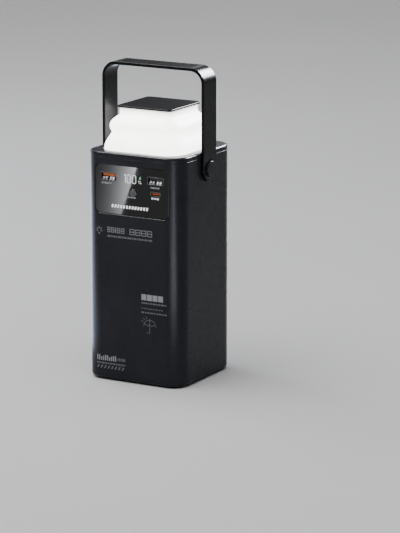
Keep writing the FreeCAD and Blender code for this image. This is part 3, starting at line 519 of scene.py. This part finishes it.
def make_lens_marks():
    """The lit count and gauge, and the small marks beside the sockets and button."""
    lit = Print(lens_y)
    lit.stroke([(-5.4, 148.7), (-5.4, 155.1)], 0.42)
    lit.stroke([(-6.3, 154.2), (-5.4, 155.1)], 0.36)
    for x in (-2.6, 1.9):
        make_digit(lit, x, 151.9, 2.9, 6.1, 0.42)
    glow = glowing("display_glow", (0.92, 0.96, 1.0), 0.9, 0.85, 3 * MM)
    lit.finish("lit_count", glow)

    small = Print(lens_y)
    small.dot(5.9, 150.9, 0.45)
    small.dot(7.5, 149.5, 0.45)
    small.stroke([(5.9, 149.2), (7.5, 151.2)], 0.3)
    small.row(16.3, 23.2, 139.5, 1.2, (1.5, 0.8, 1.2), 0.4)
    glow = glowing("share_glow", (0.9, 0.93, 0.95), 0.5, 0.8, 2 * MM)
    small.finish("lit_share", glow)

    bolt = Print(lens_y)
    bolt.polygon([(7.4, 154.9), (5.9, 152.9), (6.9, 152.9)])
    bolt.polygon([(6.5, 153.2), (7.9, 153.2), (6.3, 151.6)])
    glow = glowing("bolt_glow", (0.25, 0.75, 0.45), 0.3, 0.8, 2 * MM)
    bolt.finish("lit_bolt", glow)

    gauge = Print(lens_y)
    gauge.row(-16.9, 14.2, 131.0, 2.2, (1.4,), 1.0, lean=0.4)
    glow = glowing("gauge_glow", (1.0, 1.0, 1.0), 0.85, 0.85, 4 * MM)
    gauge.finish("lit_gauge", glow)

    printed = Print(lens_y)
    printed.row(-25.2, -17.4, 147.3, 1.3, (1.1, 0.7, 1.5), 0.45)
    printed.row(15.6, 23.2, 147.3, 1.2, (0.8, 1.4, 1.0), 0.45)
    printed.row(-3.6, 3.4, 138.5, 1.0, (1.2, 0.7), 0.4)
    printed.finish("socket_marks", ink("lens_ink", (0.42, 0.43, 0.44)))

    faint = Print(lens_y)
    faint.arc(-19.4, 141.9, 1.9, 130, 230, 0.35, 8)
    faint.arc(-19.4, 141.9, 1.9, -50, 50, 0.35, 8)
    faint.dot(-19.4, 141.9, 0.6)
    faint.bar(-19.4, 139.2, 1.6, 0.45)
    faint.finish("corner_marks", ink("shadow_ink", (0.085, 0.087, 0.09)))

    ring = Print(button_y)
    ring.arc(0.8, 142.0, 1.25, -240, 60, 0.28, 20)
    ring.stroke([(0.8, 142.3), (0.8, 143.7)], 0.28)
    ring.finish("button_mark", ink("button_ink", (0.10, 0.10, 0.105)), "button")


# ---------------------------------------------------------------- sockets


def port_middle(side):
    low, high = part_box(f"usb_a_port_{side}")
    return (low.x + high.x) / 2


def make_tongue(side, colour_name):
    """A socket's tongue with a chamfered lip and four contact strips under it."""
    tongues_low, tongues_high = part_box("usb_a_tongues")
    middle_x = port_middle(side)
    half = 5.5 * MM
    front, back = tongues_low.y, tongues_high.y
    low, high = tongues_low.z, tongues_high.z
    lip = 0.35 * MM
    rings = []
    for y, shrink in ((front, lip), (front + lip, 0.0), (back, 0.0)):
        rings.append([
            (middle_x - half + shrink, y, low + shrink), (middle_x - half + shrink, y, high - shrink),
            (middle_x + half - shrink, y, high - shrink), (middle_x + half - shrink, y, low + shrink),
        ])
    vertices, faces = loft(rings)
    tongue = new_piece(
        f"tongue_{side}", vertices, faces, MATERIALS[colour_name], "housing", smooth=False,
    )
    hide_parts("usb_a_tongues")
    contact_half = 0.55 * MM
    along = (front + 0.8 * MM, back - 1 * MM)
    under = (low - 0.12 * MM, low + 0.05 * MM)
    spans = [(span(middle_x + offset * MM, contact_half), along, under) for offset in CONTACT_OFFSETS]
    vertices, faces = box_mesh(spans)
    new_piece(f"contacts_{side}", vertices, faces, GOLD, "housing", smooth=False)


def make_springs(side, name, offsets, material):
    """Leaf springs rising from a socket's floor: (depth behind its mouth, height) in millimetres."""
    port_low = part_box(f"usb_a_port_{side}")[0]
    floor = port_low.z + 0.3 * MM
    half = 0.8 * MM
    below, above = 0.04 * MM, 0.14 * MM
    profile = ((0.1, 0.1), (0.4, 1.0), (0.8, 1.8), (1.4, 2.2), (2.6, 2.1), (5.0, 1.1), (8.0, 0.15))
    vertices = []
    faces = []
    for offset in offsets:
        x = port_middle(side) + offset * MM
        rings = []
        for depth, height in profile:
            y = port_low.y + depth * MM
            rise = floor + height * MM
            rings.append([
                (x - half, y, rise - below), (x - half, y, rise + above),
                (x + half, y, rise + above), (x + half, y, rise - below),
            ])
        more_vertices, more_faces = loft(rings)
        base = len(vertices)
        vertices += more_vertices
        faces += [tuple(base + i for i in face) for face in more_faces]
    new_piece(f"{name}_{side}", vertices, faces, material, "housing", smooth=False)


def make_sockets():
    make_tongue("left", "orange_tongue")
    make_tongue("right", "tray_plastic")
    for side in ("left", "right"):
        # Near springs get the painted-shade copy of the steel, far springs the painted-highlight copy.
        make_springs(side, "near_springs", (-4.2, -1.9), PAINTED_SHADE_SPRING)
        make_springs(side, "far_springs", (1.6, 3.9), PAINTED_LIT_SPRING)


# ---------------------------------------------------------------- captive cables


def cable_x(name):
    return JOINTS[f"cable_{name}_swing"]["pos_m"][0]


def make_ribbon(name):
    """The flat silicone cable: held under the bar above it, bending where it leaves."""
    half_width, half_depth, corner = 4.0, 1.3, 0.85
    bend_top, bend_height = 147.2, 4.0
    outer_y = HINGE_Y / MM
    held_y = outer_y - 1.7
    levels = [156.5, 153.0, 150.0, 148.5]
    levels += [148.0 - 0.5 * i for i in range(25)]
    levels += [134.0 - 4.0 * i for i in range(22)] + [47.0, 45.0, 44.2]
    sections = []
    for level in levels:
        share = min(1.0, max(0.0, (bend_top - level) / bend_height))
        middle_y = held_y + (outer_y - held_y) * share * share * (3 - 2 * share)
        sections.append((level, half_width, half_depth, middle_y, corner))
    vertices, faces = upright_loft(sections[::-1], cable_x(name), 4)
    ribbon = new_piece(
        f"ribbon_{name}", vertices, faces, MATERIALS["cable_silicone"],
    )
    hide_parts(f"cable_strap_{name}", f"cable_root_{name}")
    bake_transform(ribbon)


def make_grip(name):
    """An overmoulded grip: it tapers from the cable and has five finger grooves."""
    half_width, half_depth, corner = 5.1, 2.7, 1.6
    grooves, pitch, groove_depth = 5, 2.0, 0.38
    sections = [
        (45.0, 4.3, 1.5, 37.45, 1.1), (44.4, 4.5, 1.6, 37.35, 1.2), (43.2, 4.75, 2.0, 36.98, 1.3),
        (42.0, 5.0, 2.5, 36.5, 1.5), (41.0, half_width, half_depth, PLUG_Y, corner),
    ]
    for groove in range(grooves):
        top = 39.6 - pitch * groove
        for drop, depth in ((0.0, 0.0), (0.25, groove_depth), (0.85, groove_depth), (1.1, 0.0)):
            radius = corner - depth / 2
            sections.append((top - drop, half_width - depth, half_depth - depth, PLUG_Y, radius))
    sections += [
        (27.5, half_width, half_depth, PLUG_Y, corner), (27.1, 4.95, 2.55, PLUG_Y, 1.5),
        (27.0, 4.7, 2.3, PLUG_Y, 1.4),
    ]
    vertices, faces = upright_loft(sections[::-1], cable_x(name))
    grip = new_piece(
        f"grip_{name}", vertices, faces, MATERIALS["grip_plastic"], f"cable_{name}",
        smooth=False,
    )
    soften(grip, 0.08 * MM)
    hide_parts(f"plug_grip_{name}")


def make_sleeve(name):
    """The plug's metal sleeve, with a turned groove near one end."""
    half_width, half_depth, corner = 5.5, 2.7, 2.0
    outlines = [
        (27.0, 5.1, 2.4, 1.7), (26.7, half_width, half_depth, corner),
        (25.4, half_width, half_depth, corner), (25.3, 5.35, 2.55, 1.9),
        (25.0, 5.35, 2.55, 1.9), (24.9, half_width, half_depth, corner),
        (18.3, half_width, half_depth, corner), (17.8, 5.3, 2.5, 1.9), (17.5, 4.8, 2.0, 1.5),
    ]
    sections = [(z, half_x, half_y, PLUG_Y, radius) for z, half_x, half_y, radius in outlines]
    vertices, faces = upright_loft(sections[::-1], cable_x(name), 7)
    sleeve = new_piece(
        f"sleeve_{name}", vertices, faces, MATERIALS["plug_sleeve"], f"cable_{name}",
        smooth=False,
    )
    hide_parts(f"plug_sleeve_{name}")


def make_plug_contacts():
    """Gold contacts on the open USB-A board and on the eight-pin nose, and the micro nose's latches."""
    board_low, board_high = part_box("contact_board_usb_a")
    x = cable_x("usb_a")
    pad_half, pad_relief = 0.6 * MM, 0.1 * MM
    foot = board_low.z + 0.7 * MM
    spans = [
        (span(x + offset * MM, pad_half), span(board_high.y, pad_relief), (foot, foot + length * MM))
        for offset, length in zip(CONTACT_OFFSETS, (9.6, 8.4, 8.4, 9.6))
    ]
    vertices, faces = box_mesh(spans)
    new_piece("pads_usb_a", vertices, faces, GOLD, "cable_usb_a", smooth=False)

    nose_low, nose_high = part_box("connector_eight_pin")
    x = cable_x("eight_pin")
    count, pitch = 8, 0.68 * MM
    pad_half, pad_relief = 0.2 * MM, 0.05 * MM
    up = (nose_low.z + 1.0 * MM, nose_low.z + 4.4 * MM)
    spans = [
        (span(x + (number - (count - 1) / 2) * pitch, pad_half), span(nose_high.y, pad_relief), up)
        for number in range(count)
    ]
    vertices, faces = box_mesh(spans)
    new_piece("pads_eight_pin", vertices, faces, GOLD, "cable_eight_pin", smooth=False)

    nose_low, nose_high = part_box("connector_micro_usb")
    x = cable_x("micro_usb")
    latch_half = 0.45 * MM
    out = (nose_high.y - 0.1 * MM, nose_high.y + 0.22 * MM)
    up = (nose_low.z + 1.6 * MM, nose_low.z + 2.8 * MM)
    spans = [(span(x + offset * MM, latch_half), out, up) for offset in (-1.9, 1.9)]
    vertices, faces = box_mesh(spans)
    latches = new_piece(
        "latches_micro_usb", vertices, faces, MATERIALS["plug_steel"], "cable_micro_usb",
        smooth=False,
    )
    soften(latches, 0.12 * MM)


def make_cables():
    for name in CABLES:
        make_ribbon(name)
        make_grip(name)
        if name != "usb_a":
            make_sleeve(name)
    make_plug_contacts()


# ---------------------------------------------------------------- lamp


def catmull_rom(p, q, r, s, t):
    """The value a share t of the way from q to r, on a smooth curve through all four."""
    square = (2 * p - 5 * q + 4 * r - s) * t * t
    cube = (3 * q - p - 3 * r + s) * t ** 3
    return 0.5 * (2 * q + (r - p) * t + square + cube)


def shade_profile():
    """(level, width, corner radius) in millimetres up the two bellows lobes."""
    keys = [
        (168.4, 65.5, 14.0), (170.6, 65.5, 14.0), (173.5, 64.4, 13.6), (176.6, 61.6, 12.6),
        (179.6, 58.0, 11.6), (181.4, 56.2, 11.0), (182.4, 56.0, 11.0), (183.8, 57.3, 11.2),
        (185.8, 58.2, 11.2), (188.0, 57.6, 10.6), (190.2, 55.2, 9.4), (192.2, 51.0, 7.6),
        (193.6, 46.8, 5.6), (194.4, 44.4, 4.4), (195.4, 43.6, 4.0), (199.9, 43.6, 4.0),
    ]
    steps = 4
    profile = []
    for index in range(len(keys) - 1):
        before = keys[max(0, index - 1)]
        a, b = keys[index], keys[index + 1]
        after = keys[min(len(keys) - 1, index + 2)]
        for step in range(steps):
            profile.append(tuple(
                catmull_rom(*values, step / steps) for values in zip(before, a, b, after)
            ))
    profile.append(keys[-1])
    return profile


def lit_silicone():
    """Silicone lit from below: a little uneven, with painted shade dimming it in the last millimetres under the
    cap.
    """
    colour = (1.0, 0.985, 0.95)
    strength = 5.5
    made = Material("lit_silicone", colour, 0.5, Emission_Color=(*colour, 1.0))
    height = made.tree.nodes.new("ShaderNodeSeparateXYZ")
    made.tree.links.new(made.tree.nodes["Texture Coordinate"].outputs["Generated"], height.inputs["Vector"])
    product = made.tree.nodes.new("ShaderNodeMath")
    product.operation = "MULTIPLY"
    # Painted shade: the emission falls to 0.3 near the top of the shade, where the cap shades it.
    made.tree.links.new(made.ramp(height.outputs["Z"], 1.0, 0.3, 0.86, 1.0), product.inputs[0])
    made.tree.links.new(made.ramp(made.noise(30 * MM, 2.0), strength * 0.85, strength), product.inputs[1])
    made.link(product.outputs["Value"], "Emission Strength")
    made.relief(made.cells(0.6 * MM), 0.01 * MM)
    return made.material


def make_shade():
    """The lit bellows: a two-lobed silicone skin 1.3 mm thick."""
    glow = lit_silicone()
    rings = []
    for level, width, radius in shade_profile():
        ring = rounded_ring(width / 2, width / 2, radius, 10)
        rings.append([(x * MM, y * MM, level * MM) for x, y in ring])
    skin = 1.3
    for level, width, radius in reversed(shade_profile()):
        ring = rounded_ring(width / 2 - skin, width / 2 - skin, radius - skin, 10)
        rings.append([(x * MM, y * MM, level * MM) for x, y in ring])
    vertices, faces = loft(rings, closed_ends=False)
    count = len(rings[0])
    last = (len(rings) - 1) * count
    for i in range(count):
        j = (i + 1) % count
        faces.append((last + i, last + j, j, i))
    shade = new_piece("lit_shade", vertices, faces, glow, "housing")
    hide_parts("lamp_shade")
    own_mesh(shade)


# ---------------------------------------------------------------- stage, light and camera


def make_floor():
    size = 8.0
    vertices = [(-size, -size, 0), (size, -size, 0), (size, size, 0), (-size, size, 0)]
    mesh = bpy.data.meshes.new("floor")
    mesh.from_pydata(vertices, [], [(0, 1, 2, 3)])
    made = Material("floor_paper", (0.74, 0.74, 0.74), 0.9, Specular_IOR_Level=0.0)
    made.tone(made.noise(0.4), 0.02)
    mesh.materials.append(made.material)
    floor = bpy.data.objects.new("floor", mesh)
    bpy.context.scene.collection.objects.link(floor)


def make_world():
    world = bpy.data.worlds.new("studio")
    world.use_nodes = True
    background = world.node_tree.nodes["Background"]
    sky, strength = (0.86, 0.88, 0.92, 1.0), 0.16
    background.inputs["Color"].default_value = sky
    background.inputs["Strength"].default_value = strength
    bpy.context.scene.world = world


def area_light(name, place, rotation, width, height, power, colour=(1.0, 1.0, 1.0)):
    """A rectangular light, in metres and watts, that the camera doesn't see."""
    light = bpy.data.lights.new(name, "AREA")
    light.shape = "RECTANGLE"
    light.size, light.size_y = width, height
    light.energy = power
    light.color = colour
    lamp = bpy.data.objects.new(name, light)
    lamp.location = place
    lamp.rotation_euler = rotation
    lamp.visible_camera = False
    bpy.context.scene.collection.objects.link(lamp)
    return lamp


def softbox(name, place, width, height, power, colour=(1.0, 1.0, 1.0)):
    """An area light aimed at the middle of the power bank."""
    aim = Vector((0, 0, 0.12)) - Vector(place)
    rotation = aim.to_track_quat("-Z", "Y").to_euler()
    return area_light(name, place, rotation, width, height, power, colour)


def low_panel(name, x, y, turn, width, length, power, colour):
    """A light panel lying face up on the floor, out of the picture, for the skin to mirror."""
    rotation = (math.pi, 0, math.radians(turn))
    return area_light(name, (x, y, 4 * MM), rotation, width, length, power, colour)


def make_lens_light():
    """A softbox, brightest at the top of one slanting edge, that the display lens mirrors."""
    place = (-0.2583, -0.4024, 0.0648)
    rotation = (1.7818, 0.3156, -0.4727)
    edge_sharpness = 6.0
    lowest_share = 0.3
    lamp = area_light("lens_light", place, rotation, 0.07, 0.062, 0.42, (0.93, 0.95, 1.0))
    light = lamp.data
    light.use_nodes = True
    nodes, links = light.node_tree.nodes, light.node_tree.links
    where = nodes.new("ShaderNodeNewGeometry")
    spread = nodes.new("ShaderNodeSeparateXYZ")
    across = nodes.new("ShaderNodeMath")
    across.operation = "POWER"
    across.inputs[1].default_value = edge_sharpness
    upward = nodes.new("ShaderNodeMapRange")
    upward.inputs["To Min"].default_value = lowest_share
    strength = nodes.new("ShaderNodeMath")
    strength.operation = "MULTIPLY"
    links.new(where.outputs["Parametric"], spread.inputs["Vector"])
    links.new(spread.outputs["X"], across.inputs[0])
    links.new(spread.outputs["Y"], upward.inputs["Value"])
    links.new(across.outputs["Value"], strength.inputs[0])
    links.new(upward.outputs["Result"], strength.inputs[1])
    links.new(strength.outputs["Value"], nodes["Emission"].inputs["Strength"])
    return lamp


def make_lights():
    softbox("overhead", (-0.4, -0.4, 2.4), 2.6, 2.6, 75)
    softbox("left_strip", (-1.21, 0.32, 0.45), 0.3, 1.2, 6, (0.82, 0.87, 1.0))
    softbox("rim_strip", (-1.1, 2.4, 0.6), 0.3, 1.2, 1.5)
    accents = [
        softbox("back_top", (0.60, 2.1, 1.30), 1.1, 0.9, 420, (0.92, 0.95, 1.0)),
        softbox("top_strip", (-0.57, -0.27, 1.2), 0.8, 0.4, 45),
        low_panel("left_low", -0.40, 0.22, 0, 0.6, 0.76, 8.5, (0.70, 0.79, 1.0)),
        low_panel("front_low", 0.334, -0.483, 34, 0.19, 0.66, 6, (0.9, 0.93, 1.0)),
        make_lens_light(),
    ]
    for lamp in accents:
        lamp.visible_diffuse = False


def make_camera():
    """Seen from the front right, a little above, with the power bank left of the middle."""
    azimuth, elevation = math.radians(29.45), math.radians(13.0)
    distance = 2.12
    aim_right, aim_up = 0.02975, 0.0798
    level = math.cos(elevation)
    look = Vector((-math.sin(azimuth) * level, math.cos(azimuth) * level, -math.sin(elevation)))
    right = Vector((math.cos(azimuth), math.sin(azimuth), 0))
    aim = right * aim_right + Vector((0, 0, aim_up))
    data = bpy.data.cameras.new("camera")
    data.lens = 194.765
    camera = bpy.data.objects.new("camera", data)
    camera.location = aim - look * distance
    camera.rotation_euler = look.to_track_quat("-Z", "Y").to_euler()
    bpy.context.scene.collection.objects.link(camera)
    bpy.context.scene.camera = camera


dress_cad_nodes()
make_shade()
make_front_prints()
make_lens_marks()
make_sockets()
make_cables()
make_floor()
make_world()
make_lights()
make_camera()
